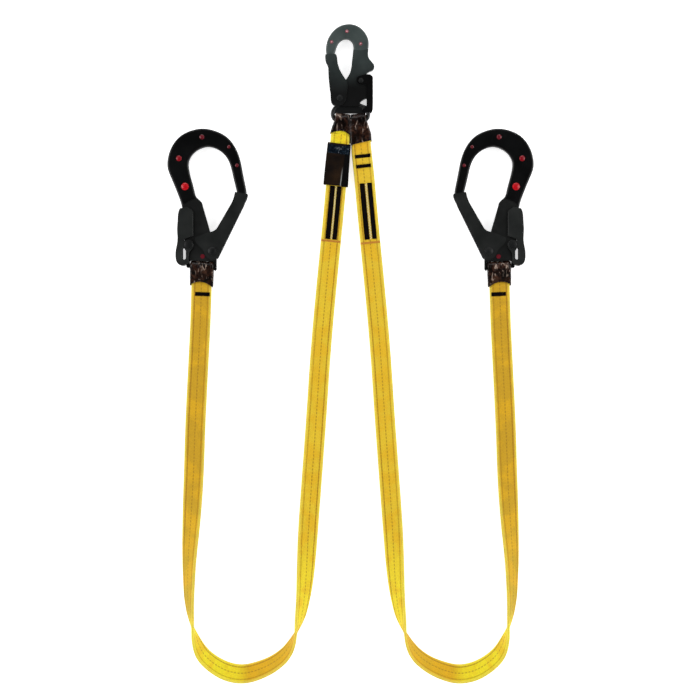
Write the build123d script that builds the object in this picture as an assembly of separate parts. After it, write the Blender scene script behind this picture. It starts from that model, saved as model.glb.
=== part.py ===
from build123d import *
import math
import os

os.makedirs("parts", exist_ok=True)

# ---------------------------------------------------------------- driving dimensions, mm
STRAP_W = 30.4            # flat width of the tubular webbing
STRAP_T = 4.4             # thickness of the flattened tube
LAYER_T = 2.2             # one layer where the strap folds round an eye bar
EYE_BAR_R = 3.5           # radius of the eye bars
FOLD_IN = {"snap": 4.6, "hook": 3.9}     # inner radius of the fold round the bar
FOLD_OUT = {"snap": 6.8, "hook": 6.1}    # outer radius of the fold round the bar
SLEEVE_IN = {"snap": 6.95, "hook": 6.25}  # wear sleeve, inner radius round the fold
SLEEVE_OUT = {"snap": 7.6, "hook": 7.0}  # wear sleeve, outer radius round the fold
SNAP_Z = 8.7              # height of the snap hook's middle plane
HOOK_Z = 11.2             # height of the scaffold hooks' middle plane
SNAP_EYE = (-0.15, 61.0) # middle of the snap hook's eye bar
HOOK_EYE = (-220.58, -159.8)  # middle of the left scaffold hook's eye bar
HOOK_TILT = -1.9          # slope of the scaffold hook's eye bar, degrees
BOWL_HALF = 6.0           # half thickness of the scaffold hook forging
CORE_HALF = 4.6           # half thickness of the forging under its frame plates
PLATE_OUT = 5.8           # outer face of the frame plates
GATE_IN, GATE_OUT = 6.2, 7.8     # gate side plates
LEVER_IN, LEVER_OUT = 8.1, 9.7   # lock lever side plates
HOLE_R = 3.0
SHAFT_R = 2.95

# control points of the left leg's centre line: x, y, z, roll about the line in degrees.
# A quadratic B-spline, so each inner point is touched by one arc.
LEG = [
    (-10.60, 60.95, 8.70, 0.00),
    (-19.10, -6.45, 6.90, 0.00),
    (-23.60, -60.45, 5.40, 0.00),
    (-29.80, -124.55, 3.00, 0.00),
    (-35.80, -185.35, 2.30, 0.00),
    (-41.60, -247.45, 2.50, 0.00),
    (-46.50, -309.05, 2.40, 0.00),
    (-50.40, -371.05, 2.50, 0.00),
    (-54.80, -432.75, 2.70, 1.10),
    (-59.40, -494.75, 3.70, 4.60),
    (-63.80, -556.15, 5.90, 13.30),
    (-67.40, -619.75, 10.50, 32.90),
    (-70.10, -651.85, 12.70, 46.40),
    (-75.10, -685.55, 15.20, 61.20),
    (-84.70, -718.75, 15.80, 103.10),
    (-96.20, -739.55, 14.30, 124.10),
    (-115.00, -754.75, 12.90, 132.80),
    (-136.80, -764.95, 11.20, 143.10),
    (-160.30, -771.35, 9.60, 150.50),
    (-184.20, -767.65, 10.10, 148.40),
    (-205.50, -755.95, 12.20, 137.10),
    (-223.30, -739.55, 13.90, 127.80),
    (-232.40, -717.15, 15.60, 105.20),
    (-237.80, -694.15, 15.60, 77.20),
    (-241.80, -659.95, 14.70, 60.40),
    (-242.00, -625.75, 13.30, 50.60),
    (-241.50, -593.55, 12.40, 43.00),
    (-238.00, -529.85, 7.90, 21.40),
    (-235.20, -468.55, 4.40, 7.50),
    (-233.50, -406.05, 3.40, 3.80),
    (-230.70, -345.05, 2.80, 1.10),
    (-227.40, -280.75, 2.20, 0.00),
    (-224.70, -226.45, 3.60, 0.00),
    (-222.50, -159.85, 11.20, 0.00),
]


# ---------------------------------------------------------------- vectors
def vsub(a, b): return (a[0]-b[0], a[1]-b[1], a[2]-b[2])
def vadd(a, b): return (a[0]+b[0], a[1]+b[1], a[2]+b[2])
def vmul(a, k): return (a[0]*k, a[1]*k, a[2]*k)
def vlen(a): return math.sqrt(a[0]**2+a[1]**2+a[2]**2)
def vnorm(a):
    l = vlen(a)
    return (a[0]/l, a[1]/l, a[2]/l)
def vcross(a, b):
    return (a[1]*b[2]-a[2]*b[1], a[2]*b[0]-a[0]*b[2], a[0]*b[1]-a[1]*b[0])


def frame_at(p, t, roll):
    h = vnorm(vcross(t, (0, 0, 1)))
    up = vnorm(vcross(h, t))
    c, s = math.cos(math.radians(roll)), math.sin(math.radians(roll))
    w = vadd(vmul(h, c), vmul(up, s))
    n = vadd(vmul(h, -s), vmul(up, c))
    return p, t, w, n


def leg_samples():
    pts = LEG
    n = len(pts)
    segs = []
    for i in range(1, n-1):
        a = pts[0] if i == 1 else tuple((pts[i-1][k]+pts[i][k])/2 for k in range(4))
        c = pts[-1] if i == n-2 else tuple((pts[i][k]+pts[i+1][k])/2 for k in range(4))
        segs.append((a, pts[i], c))
    out = []
    s = 0.0
    last = None
    for a, b, c in segs:
        m = 24
        for j in range(m+1):
            u = j/m
            q = tuple((1-u)**2*a[k]+2*u*(1-u)*b[k]+u*u*c[k] for k in range(4))
            d = tuple(2*(1-u)*(b[k]-a[k])+2*u*(c[k]-b[k]) for k in range(3))
            if last is not None:
                step = vlen(vsub(q[:3], last))
                if step < 1e-6:
                    continue
                s += step
            last = q[:3]
            out.append((s, q[:3], vnorm(d), q[3]))
    return out


SAMPLES = leg_samples()
LEG_LEN = SAMPLES[-1][0]


def leg_frame(s):
    lo, hi = 0, len(SAMPLES)-1
    while hi-lo > 1:
        mid = (lo+hi)//2
        if SAMPLES[mid][0] <= s:
            lo = mid
        else:
            hi = mid
    a, b = SAMPLES[lo], SAMPLES[hi]
    u = (s-a[0])/(b[0]-a[0])
    p = tuple(a[1][k]*(1-u)+b[1][k]*u for k in range(3))
    t = vnorm(tuple(a[2][k]*(1-u)+b[2][k]*u for k in range(3)))
    return frame_at(p, t, a[3]*(1-u)+b[3]*u)


def poly_solid(rings):
    # closed solid through equal rings of points, with flat triangles
    faces = []
    k = len(rings[0])

    def tri(a, b, c):
        if vlen(vcross(vsub(b, a), vsub(c, a))) > 1e-9:
            faces.append(Face(Wire.make_polygon([Vector(*a), Vector(*b), Vector(*c)], close=True)))
    for i in range(len(rings)-1):
        A, B = rings[i], rings[i+1]
        for j in range(k):
            m = (j+1) % k
            tri(A[j], A[m], B[m])
            tri(A[j], B[m], B[j])
    for ring in (rings[0], rings[-1]):
        faces.append(Face(Wire.make_polygon([Vector(*v) for v in ring], close=True)))
    sol = Solid(Shell(faces))
    if sol.volume < 0:
        sol = Solid(sol.wrapped.Reversed())
    return sol


def stations(s0, s1):
    # closer together where the strap turns
    out = [s0]
    while out[-1] < s1-1e-6:
        s = out[-1]
        step = 9.0 if 700 < s < 1080 else (16.0 if 480 < s < 1280 else 24.0)
        out.append(min(s+step, s1))
    if len(out) > 2 and out[-1]-out[-2] < 4:
        out.pop(-2)
    return out


def band(s0, s1, a0, a1, b0, b1, a0_end=None):
    # solid that follows the leg: a = across the strap, b = out of its face
    rings = []
    for s in stations(s0, s1):
        p, t, w, n = leg_frame(s)
        ai = a0 if a0_end is None else a0+(a0_end-a0)*(s-s0)/(s1-s0)
        rings.append([vadd(p, vadd(vmul(w, a), vmul(n, b)))
                      for a, b in ((ai, b0), (a1, b0), (a1, b1), (ai, b1))])
    return poly_solid(rings)


# ---------------------------------------------------------------- folds at the eye bars
def end_frame(which):
    if which == "snap":
        p = LEG[0][:3]
        t = vnorm(vsub(LEG[1][:3], LEG[0][:3]))
    else:
        p = LEG[-1][:3]
        t = vnorm(vsub(LEG[-2][:3], LEG[-1][:3]))
    return p, t


def end_plane(which):
    p, t = end_frame(which)
    h = vnorm(vcross(t, (0, 0, 1)))
    n = vnorm(vcross(h, t))
    z = vnorm(vcross(t, n))
    return Plane(origin=Vector(*p), x_dir=Vector(*t), z_dir=Vector(*z))


def teardrop(r, u, v, steps=28):
    # outline from (u, v) round a circle of radius r to (u, -v)
    d = math.hypot(u, v)
    th = math.atan2(v, u)+math.acos(r/d)
    pts = [(u, v)]
    for i in range(steps+1):
        a = th+(2*math.pi-2*th)*i/steps
        pts.append((r*math.cos(a), r*math.sin(a)))
    pts.append((u, -v))
    return pts


def prism(plane, pts, half_w):
    wire = Wire.make_polygon([Vector(x, y, 0) for x, y in pts], close=True)
    f = Face(wire)
    s = extrude(f, amount=half_w, both=True)
    return plane * s


def plan_cut(plane, pts):
    # pts: (along, width towards the other leg, width away from it) from the bar outwards
    right = [(u, w) for u, w, v in pts]
    left = [(u, -v) for u, w, v in reversed(pts)]
    # sketch in the (along, across) plane of the end frame
    q = Plane(origin=plane.origin, x_dir=plane.x_dir, z_dir=plane.y_dir)
    f = Face(Wire.make_polygon([Vector(x, y, 0) for x, y in right+left], close=True))
    return q * extrude(f, amount=20, both=True)


def strap_fold(which, join, hole_end, plan=None):
    pl = end_plane(which)
    outer = teardrop(FOLD_OUT[which], join, LAYER_T)
    inner = teardrop(FOLD_IN[which], hole_end, 0.02)
    s = prism(pl, outer, STRAP_W/2) - prism(pl, inner, STRAP_W/2+1)
    if plan:
        s = s & plan_cut(pl, plan)
    return s


def sleeve_part(which, join, end, half_w, plan_out=None, plan_in=None, lip=0.8):
    # sleeve on the outer face of the folded strap, with its edges turned over the strap's sides
    pl = end_plane(which)
    def shape(r, off):
        pts = teardrop(r, join, off)
        return [(end, off)]+pts+[(end, -off)]
    big = prism(pl, shape(SLEEVE_OUT[which], LAYER_T+0.9), half_w)
    small = prism(pl, shape(SLEEVE_IN[which], LAYER_T+0.15), half_w-lip)
    # the bar and the space inside the fold stay open
    hole = prism(pl, teardrop(FOLD_IN[which]+0.1, 16.0, 0.02), half_w+1)
    big = big - hole
    if plan_out:
        big = big & plan_cut(pl, plan_out)
        small = small & plan_cut(pl, plan_in)
    return big - small


SNAP_JOIN, HOOK_JOIN = 24.0, 24.0
SNAP_PLAN = [(-9, 8.2, 9.5), (0, 9.3, 9.5), (12, 11.0, 14.0), (24, 12.5, 16.2), (33, 13.6, 15.6), (40, 14.4, 15.3), (50, 15.2, 15.2)]


def leg_ring(s, wi, wo):
    p, t, w, n = leg_frame(s)
    h = LAYER_T
    return [vadd(p, vadd(vmul(w, a), vmul(n, b)))
            for a, b in ((-wi, -h), (wo, -h), (wo, h), (-wi, h))]


def end_ring(which, dist, wi, wo):
    p, t = end_frame(which)
    hgt = LAYER_T
    q = vadd(p, vmul(t, dist))
    if which == "hook":
        t = vmul(t, -1)
    _, t, w, n = frame_at(q, t, 0.0)
    return [vadd(q, vadd(vmul(w, a), vmul(n, b)))
            for a, b in ((-wi, -hgt), (wo, -hgt), (wo, hgt), (-wi, hgt))]


def plan_width(u):
    pts = SNAP_PLAN
    for p, q in zip(pts, pts[1:]):
        if p[0] <= u <= q[0]:
            k = (u-p[0])/(q[0]-p[0])
            return p[1]+(q[1]-p[1])*k, p[2]+(q[2]-p[2])*k
    return STRAP_W/2, STRAP_W/2


def build_leg():
    rings = [end_ring("snap", SNAP_JOIN, *plan_width(SNAP_JOIN))]
    for s in (33.0, 40.0, 50.0):
        rings.append(leg_ring(s, *plan_width(s)))
    for s in stations(62.0, LEG_LEN-HOOK_JOIN-8):
        rings.append(leg_ring(s, STRAP_W/2, STRAP_W/2))
    rings.append(end_ring("hook", HOOK_JOIN, STRAP_W/2, STRAP_W/2))
    body = poly_solid(rings)
    body = body + strap_fold("snap", SNAP_JOIN, 16.5, SNAP_PLAN)
    body = body + strap_fold("hook", HOOK_JOIN, 16.5)
    # the tube's inside, where the folded absorber strip lies
    cavity = band(CORE_S0-4, CORE_S1+4, -12.6, 12.6, -0.75, 0.75)
    return body - cavity


CORE_S0, CORE_S1 = 84.0, 560.0
leg = build_leg()
core = band(CORE_S0, CORE_S1, -12.4, 12.4, -0.6, 0.6)


# ---------------------------------------------------------------- stitching, tacks, label on the left leg
def on_both_faces(s0, s1, a0, a1, b0, b1):
    return [band(s0, s1, a0, a1, b0, b1), band(s0, s1, a0, a1, -b1, -b0)]


S_BAR0, S_BAR1 = 96.0, 180.5
S_LAB1 = 100.4               # the left leg's bars start below its label
# across is positive towards the inside of the loop, which is -x on this leg
left_bars = on_both_faces(S_LAB1, S_BAR1, 1.4, 8.7, 2.25, 3.0) + on_both_faces(S_LAB1, S_BAR1, -8.6, -1.8, 2.25, 3.0)
right_bars = (on_both_faces(S_BAR0, S_BAR1, -7.8, -0.6, 2.25, 3.0) + on_both_faces(S_BAR0, S_BAR1, 3.8, 10.2, 2.25, 3.0)
              + on_both_faces(52.8, 57.7, -10.6, 12.6, 2.25, 2.9) + on_both_faces(67.8, 72.7, -10.6, 11.8, 2.25, 2.9))
left_tack = on_both_faces(181.5, 184.5, -14.6, 14.6, 2.25, 2.75)
right_tack = on_both_faces(184.0, 187.0, -14.6, 14.6, 2.25, 2.75)
S_END = LEG_LEN-41.0
hook_tack = on_both_faces(S_END-2.4, S_END+2.4, -9.1, 12.9, 2.25, 2.95)

# label: a folded card in a clear-topped fabric cover that is closed round the strap
LAB0, LAB1 = 36.5, 99.6
cover_out = band(LAB0, LAB1, -15.7, 19.2, -3.4, 4.6, -18.2)
cover_in = band(LAB0-1, LAB1+1, -15.1, 18.3, -2.5, 3.85, -15.7)
cover = cover_out - cover_in + band(LAB0+17.5, LAB1+1.4, -15.7-2.5*17.5/63.1, -8.4, 4.45, 5.3, -18.25)
card = band(LAB0+1.5, LAB1-2.0, -14.4, 15.8, 2.6, 3.6)
window = band(LAB0+2.5, LAB0+15.5, -14.8, 17.8, 4.65, 5.05)

# ---------------------------------------------------------------- wear sleeves
SN_SL_OUT_L = [(-10, 8.8, 10.4), (0, 10.1, 10.4), (12, 11.7, 15.0), (24, 13.4, 17.2), (31, 14.2, 17.0)]
SN_SL_IN_L = [(-10, 8.25, 9.6), (0, 9.5, 9.6), (12, 11.1, 14.15), (24, 12.6, 16.35), (33, 13.7, 15.8)]
sleeve_snap_left = sleeve_part("snap", SNAP_JOIN, 24.2, 19.0, SN_SL_OUT_L, SN_SL_IN_L)
SN_SL_OUT_R = [(-10, 8.8, 10.4), (0, 10.1, 10.4), (12, 11.7, 15.0), (24, 13.4, 17.2), (36, 14.7, 17.0), (44, 15.6, 17.0)]
SN_SL_IN_R = [(-10, 8.25, 9.6), (0, 9.5, 9.6), (12, 11.1, 14.15), (24, 12.6, 16.35), (33, 13.8, 15.85), (40, 14.55, 15.6), (50, 15.4, 15.4)]
sleeve_snap_right = sleeve_part("snap", SNAP_JOIN, 36.0, 19.0, SN_SL_OUT_R, SN_SL_IN_R)
sleeve_hook = sleeve_part("hook", HOOK_JOIN, 31.0, 17.3, None, None, lip=1.9)


# ---------------------------------------------------------------- hooks: helpers
def plate(face, z0, z1):
    return Pos(0, 0, z0) * extrude(face, amount=z1-z0, dir=(0, 0, 1))


def soften(shape, half, radii):
    # round both rims of a plate with the largest radius that closes
    for r in radii:
        try:
            out = fillet([e for e in shape.edges() if abs(abs(e.center().Z)-half) < 0.01], radius=r)
            if out.is_valid:
                return out
        except ValueError:
            continue
    return shape


def bevel(shape, half, size):
    for k in (1.0, 0.6):
        try:
            out = chamfer([e for e in shape.edges() if abs(abs(e.center().Z)-half) < 0.01], length=size*k)
            if out.is_valid:
                return out
        except ValueError:
            continue
    return shape


def outline(*parts):
    # parts: ("line", pts) or ("curve", pts), joined end to end and closed
    edges = []
    last = None
    first = None
    for kind, pts in parts:
        if last is not None and math.dist(last, pts[0]) > 1e-6:
            edges.append(Edge.make_line(Vector(*last), Vector(*pts[0])))
        if first is None:
            first = pts[0]
        if kind == "curve":
            edges.append(Edge.make_spline([Vector(*p) for p in pts]))
        else:
            for a, b in zip(pts, pts[1:]):
                edges.append(Edge.make_line(Vector(*a), Vector(*b)))
        last = pts[-1]
    if math.dist(last, first) > 1e-6:
        edges.append(Edge.make_line(Vector(*last), Vector(*first)))
    return Face(Wire(edges))


def cyl(x, y, r, z0, z1):
    return Pos(x, y, (z0+z1)/2) * Cylinder(r, z1-z0)


def dome(x, y, z, r, h, up=True):
    R = (r*r+h*h)/(2*h)
    cap = Pos(0, 0, h-R) * Sphere(R)
    cap = cap & (Pos(0, 0, h/2) * Box(4*r, 4*r, h))
    if not up:
        cap = mirror(cap, about=Plane.XY)
    return Pos(x, y, z) * cap


def rivet(x, y, shaft, head_r, z_in, z_out):
    s = cyl(x, y, shaft, -z_in, z_in)
    for up in (True, False):
        k = 1 if up else -1
        s = s + cyl(x, y, head_r, min(k*z_in, k*(z_in+0.6)), max(k*z_in, k*(z_in+0.6)))
        s = s + dome(x, y, k*(z_in+0.6), head_r*0.93, z_out-z_in-0.6, up)
    return s


def torsion_spring(x, y, mean_r, wire_r, turns, pitch):
    h = turns*pitch
    path = Helix(pitch=pitch, height=h, radius=mean_r)
    start = path @ 0
    tan = path % 0
    prof = Plane(origin=start, z_dir=tan) * Circle(wire_r)
    s = sweep(prof, path=path, is_frenet=True)
    return Pos(x, y, -h/2) * s


def stud_group(specs, z):
    out = []
    for x, y, r, h in specs:
        for up in (True, False):
            k = 1 if up else -1
            base = cyl(x, y, r, min(k*z, k*(z+0.35)), max(k*z, k*(z+0.35)))
            out.append(base + dome(x, y, k*(z+0.35), r*0.96, h-0.35, up))
    return out


# ---------------------------------------------------------------- scaffold hook, drawn about its eye bar
bowl_face = outline(
    ("curve", [(61.35, 97.35), (64.8, 107.55), (62.85, 122.55), (59.55, 139.05), (55.65, 158.55), (48.15, 178.05), (34.95, 194.25), (17.25, 203.4), (-0.75, 206.55), (-18.45, 203.4), (-34.65, 194.85), (-47.25, 178.95), (-52.8, 162.3), (-52.95, 146.55), (-47.85, 132.75), (-40.5, 115.05), (-33.75, 97.05), (-31.35, 88.05)]),
    ("line", [(-31.35, 88.05), (-26.25, 80.55), (1.5, 82.05), (-1.35, 94.05)]),
    ("curve", [(-1.35, 94.05), (-5.25, 99.45), (-9.9, 103.65), (-13.35, 113.55), (-17.85, 130.8), (-21.15, 145.05), (-21.75, 154.95), (-16.65, 166.65), (-6.15, 175.35), (7.65, 179.1), (20.85, 175.65), (32.55, 166.65), (39.45, 154.95), (44.55, 136.05), (49.95, 113.55), (53.4, 99.45)]),
    ("curve", [(53.4, 99.45), (55.35, 95.55), (58.65, 94.65), (61.35, 97.35)]),
)
bowl = plate(bowl_face, -BOWL_HALF, BOWL_HALF)
bowl = soften(bowl, BOWL_HALF, (3.0, 2.8, 2.5))

PIV_G = (13.8, 22.8)
PIV_L = (-22.2, 32.55)
t4 = math.tan(math.radians(HOOK_TILT))
core_face = outline(
    ("line", [(-31.65, 90.3), (-26.55, 82.05), (-25.8, 45.3)]),
    ("curve", [(-25.8, 45.3), (-27.9, 39.15), (-28.95, 32.55), (-27.75, 26.55), (-24.45, 22.05)]),
    ("line", [(-24.45, 22.05), (-24.9, 13.05), (-24.9, 0.45)]),
    ("curve", [(-24.9, 0.45), (-24.15, -1.35), (-22.5, -2.1), (-20.85, -1.5), (-20.1, 0.45)]),
    ("line", [(-20.1, 0.45), (-20.1, 7.65), (-18.6, 8.7), (14.4, 7.35), (15.9, 6.15), (15.9, -2.85)]),
    ("curve", [(15.9, -2.85), (16.5, -5.4), (18, -6.3), (19.35, -5.25), (19.95, -2.55)]),
    ("line", [(19.95, -2.55), (19.95, 10.05)]),
    ("curve", [(19.95, 10.05), (21.15, 15.15), (22.8, 21.15), (21.9, 27.45), (18.15, 34.65), (13.65, 43.05), (9.75, 54.3)]),
    ("line", [(9.75, 54.3), (-1.35, 93.15)]),
    ("line", [(-1.35, 93.15), (-5.85, 99.15), (-10.2, 102.75), (-20.25, 100.05)]),
)
core_plate = plate(core_face, -CORE_HALF, CORE_HALF)
cover_face = outline(
    ("line", [(-31.65, 90.3), (-26.55, 82.05), (-25.8, 45.3)]),
    ("curve", [(-25.8, 45.3), (-27.9, 39.15), (-28.95, 32.55), (-27.75, 26.55), (-24.45, 22.05)]),
    ("line", [(-24.45, 22.05), (-24.75, 9.45), (-18.6, 9), (14.4, 7.8), (19.95, 7.2), (19.95, 10.05)]),
    ("curve", [(19.95, 10.05), (21.15, 15.15), (22.8, 21.15), (21.9, 27.45), (18.15, 34.65), (13.65, 43.05), (9.75, 54.3)]),
    ("line", [(9.75, 54.3), (-1.35, 93.15), (-1.95, 95.7), (-6.15, 99.75), (-8.85, 101.55)]),
    ("curve", [(-8.85, 101.55), (-16.5, 99.75), (-24.15, 95.85), (-31.65, 90.3)]),
)
# the frame plates sit in a step on each side of the forging
bowl = bowl - plate(cover_face, CORE_HALF+0.05, 20) - plate(cover_face, -20, -CORE_HALF-0.05)
ends = [(-20.3, -20.3*t4), (19.2, 19.2*t4)]
mid = ((ends[0][0]+ends[1][0])/2, (ends[0][1]+ends[1][1])/2)
bar = Pos(mid[0], mid[1], 0) * Rot(0, 0, HOOK_TILT) * Rot(0, 90, 0) * Cylinder(EYE_BAR_R, 39.4)
hook_body = bowl + core_plate + bar
for px, py in (PIV_G,):
    hook_body = hook_body - cyl(px, py, HOLE_R, -20, 20)
hook_body = hook_body - cyl(PIV_L[0], PIV_L[1], 2.5, -20, 20)
hook_body = hook_body - cyl(PIV_G[0], PIV_G[1], 6.3, -2.7, 2.7)
hook_body = hook_body - cyl(PIV_L[0], PIV_L[1], 4.6, -2.3, 2.3)
frame_plates = [plate(cover_face, CORE_HALF+0.1, PLATE_OUT), plate(cover_face, -PLATE_OUT, -CORE_HALF-0.1)]
frame_plates = [bevel(f, PLATE_OUT, 0.45)
                - cyl(PIV_G[0], PIV_G[1], HOLE_R, -20, 20) - cyl(PIV_L[0], PIV_L[1], 2.5, -20, 20) for f in frame_plates]

gate_face = outline(
    ("line", [(47.85, 111.45), (66.6, 108.45)]),
    ("curve", [(66.6, 108.45), (66.3, 105.15), (64.65, 100.35), (60.6, 91.05)]),
    ("line", [(60.6, 91.05), (23.1, 14.7)]),
    ("curve", [(23.1, 14.7), (19.65, 10.95), (13.65, 9.75), (7.65, 12.15), (3.15, 17.55), (0.15, 24.15), (-5.25, 29.85), (-11.85, 39.15)]),
    ("line", [(-11.85, 39.15), (-11.85, 43.35), (8.7, 51.75)]),
    ("curve", [(8.7, 51.75), (15.15, 52.95), (20.7, 57)]),
    ("line", [(20.7, 57), (42.75, 95.1)]),
    ("curve", [(42.75, 95.1), (45.75, 102.45), (47.85, 111.45)]),
)
web_face = outline(("line", [(34.5, 80.85), (42.75, 95.1), (45.75, 102.45), (47.85, 111.45), (49.5, 111.15), (47.7, 101.85), (44.55, 94.2), (36.3, 79.8)]))
gp = []
for k in (1, -1):
    f = plate(gate_face, min(k*GATE_IN, k*GATE_OUT), max(k*GATE_IN, k*GATE_OUT))
    f = bevel(f, GATE_OUT, 0.4)
    gp.append(f)
hook_gate = gp[0] + gp[1] + plate(web_face, -GATE_IN-0.5, GATE_IN+0.5)
hook_gate = hook_gate - cyl(PIV_G[0], PIV_G[1], HOLE_R, -20, 20)

lever_face = outline(
    ("line", [(-34.35, 86.85), (-23.25, 88.65), (-16.35, 84.45), (-14.7, 81.45), (-14.7, 46.05)]),
    ("line", [(-14.7, 46.05), (-30.75, 40.05), (-26.25, 38.7), (-20.85, 39.75)]),
    ("curve", [(-20.85, 39.75), (-16.65, 37.95), (-14.55, 33.15), (-15.75, 27.45), (-19.35, 22.65), (-21.45, 16.65), (-21.75, 9.45), (-21.15, 5.25)]),
    ("curve", [(-21.15, 5.25), (-25.65, 2.85), (-30.75, 1.5), (-36.45, 3.15), (-39.75, 7.95), (-40.95, 15.45), (-40.65, 23.55), (-39.15, 31.35), (-38.1, 38.55), (-38.1, 46.05), (-38.55, 56.55), (-37.8, 68.55), (-37.2, 78.15), (-34.35, 86.85)]),
)
slot = outline(("line", [(-30.9, 25.65), (-30.9, 13.05)]), ("curve", [(-30.9, 13.05), (-30.15, 11.1), (-28.2, 10.35), (-26.25, 11.1), (-25.5, 13.05)]),
               ("line", [(-25.5, 13.05), (-25.5, 25.65)]), ("curve", [(-25.5, 25.65), (-26.25, 27.45), (-28.2, 28.2), (-30.15, 27.45), (-30.9, 25.65)]))
lever_web = outline(
    ("curve", [(-25.95, 3.15), (-30.75, 2.1), (-36, 3.6), (-39.3, 8.25), (-40.5, 15.45), (-40.2, 23.55), (-38.7, 31.35), (-37.65, 38.55), (-37.65, 46.05), (-38.1, 56.55), (-37.35, 68.55), (-36.3, 79.65)]),
    ("line", [(-36.3, 79.65), (-34.65, 79.35)]),
    ("curve", [(-34.65, 79.35), (-35.55, 68.55), (-36.3, 56.55), (-35.85, 46.05), (-35.85, 38.55), (-36.9, 31.05), (-38.25, 23.25), (-38.55, 15.75), (-37.35, 9.15), (-34.8, 5.7), (-30.75, 4.35), (-25.95, 5.25)]),
)
lp = []
for k in (1, -1):
    f = plate(lever_face, min(k*LEVER_IN, k*LEVER_OUT), max(k*LEVER_IN, k*LEVER_OUT))
    f = bevel(f - plate(slot, -20, 20), LEVER_OUT, 0.45)
    lp.append(f)
hook_lever = lp[0] + lp[1] + plate(lever_web, -LEVER_IN-0.5, LEVER_IN+0.5)
hook_lever = hook_lever - cyl(PIV_L[0], PIV_L[1], 2.5, -20, 20)

hook_gate_rivet = rivet(PIV_G[0], PIV_G[1], SHAFT_R, 6.7, GATE_OUT+0.1, 9.6)
hook_lever_rivet = rivet(PIV_L[0], PIV_L[1], 2.45, 6.3, LEVER_OUT+0.1, 11.2)
hook_gate_spring = torsion_spring(PIV_G[0], PIV_G[1], 4.7, 0.45, 3.5, 1.1)
hook_lever_spring = torsion_spring(PIV_L[0], PIV_L[1], 3.6, 0.35, 3.5, 0.9)
d1, d2, d3, d4, d5, d6 = [(-27, 119.55), (-36.15, 161.7), (-1.65, 193.65), (38.7, 178.95), (50.55, 151.2), (-0.75, 15)]
hook_studs = stud_group([(d1[0], d1[1], 5.6, 1.5), (d2[0], d2[1], 4.2, 1.2), (d3[0], d3[1], 3.7, 1.1), (d4[0], d4[1], 2.5, 0.9), (d5[0], d5[1], 2.6, 0.9)], BOWL_HALF)
for up in (True, False):
    k = 1 if up else -1
    hook_studs.append(cyl(d6[0], d6[1], 3.3, min(k*PLATE_OUT, k*(PLATE_OUT+0.3)), max(k*PLATE_OUT, k*(PLATE_OUT+0.3))))

# ---------------------------------------------------------------- snap hook, drawn about its eye bar
SN_HALF = 5.5
SN_CORE = 4.3
SN_GIN, SN_GOUT = 5.9, 7.3
PIV_SG = (-15.97, 31.5)
PIV_SL = (15.83, 57.75)
snap_face = outline(
    ("curve", [(-25.27, 85.35), (-31.72, 90.75), (-36.08, 98.25), (-36.38, 110.25), (-33.67, 120.15), (-27.67, 129.9), (-17.77, 138.45), (-1.88, 142.65), (12.23, 138.75), (21.53, 130.05), (26.62, 119.85), (27.38, 109.35), (26.33, 99.15), (27.67, 91.05), (34.12, 83.85)]),
    ("curve", [(34.12, 83.85), (35.92, 79.35), (34.73, 74.55), (30.23, 71.85), (24.83, 69.15)]),
    ("line", [(24.83, 69.15), (24.23, 63.75), (24.23, 31.35)]),
    ("curve", [(24.23, 31.35), (18.23, 28.65), (14.33, 24.75), (13.12, 19.35)]),
    ("line", [(13.12, 19.35), (-20.17, 19.35)]),
    ("curve", [(-20.17, 19.35), (-24.97, 22.65), (-26.77, 28.35), (-25.58, 35.25), (-19.58, 45.15), (-13.27, 52.35), (-6.83, 59.25)]),
    ("curve", [(-6.83, 59.25), (-2.77, 65.25), (0.23, 72.15), (2.17, 84.75), (3.67, 98.25), (4.28, 108.75), (1.73, 115.65), (-2.33, 118.95), (-6.83, 119.85), (-11.77, 118.65), (-16.72, 115.05), (-20.77, 107.55), (-24.08, 97.35)]),
    ("curve", [(-24.08, 97.35), (-23.62, 91.35), (-23.47, 87.45), (-25.27, 85.35)]),
)
snap_body = plate(snap_face, -SN_HALF, SN_HALF)
snap_body = soften(snap_body, SN_HALF, (2.6, 2.2, 1.8, 1.4, 1.0))
low_face = outline(
    ("line", [(4.12, 103.95), (15.53, 102.9), (26.62, 104.85)]),
    ("curve", [(26.62, 104.85), (26.33, 99.15), (27.67, 91.05), (33.23, 84.15), (35.03, 79.35), (33.83, 74.85), (29.62, 72.15), (24.83, 69.15)]),
    ("line", [(24.83, 69.15), (24.23, 63.75), (24.23, 31.35)]),
    ("curve", [(24.23, 31.35), (18.23, 28.65), (14.33, 24.75), (13.12, 19.35)]),
    ("line", [(13.12, 19.35), (-20.17, 19.35)]),
    ("curve", [(-20.17, 19.35), (-24.97, 22.65), (-26.77, 28.35), (-25.58, 35.25), (-19.58, 45.15), (-13.27, 52.35), (-6.83, 59.25)]),
    ("curve", [(-6.83, 59.25), (-2.77, 65.25), (0.23, 72.15), (2.17, 84.75), (3.67, 98.25), (4.12, 103.95)]),
)
snap_body = snap_body - plate(low_face, SN_CORE+0.05, 20) - plate(low_face, -20, -SN_CORE-0.05)
snap_plates = [plate(low_face, SN_CORE+0.1, SN_HALF), plate(low_face, -SN_HALF, -SN_CORE-0.1)]
ring_path = Wire([Edge.make_spline([Vector(*p) for p in [(-14.17, 22.5), (-21.38, 18.45), (-25.72, 12.45), (-26.33, 6.15), (-24.52, 1.65), (-20.17, 0)]], tangents=[Vector(-1, -0.5), Vector(1, 0)]),
                  Edge.make_line(Vector(*(-20.17, 0.0)), Vector(*(20.62, 0.0))),
                  Edge.make_spline([Vector(*p) for p in [(20.62, 0), (24.83, 1.65), (26.33, 6.15), (25.58, 12.15), (20.62, 18.15), (8.33, 23.25)]], tangents=[Vector(1, 0), Vector(-1, 0.4)])])
ring_a = sweep(Plane(origin=ring_path @ 0, z_dir=ring_path % 0) * Circle(3.1), path=ring_path)
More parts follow.
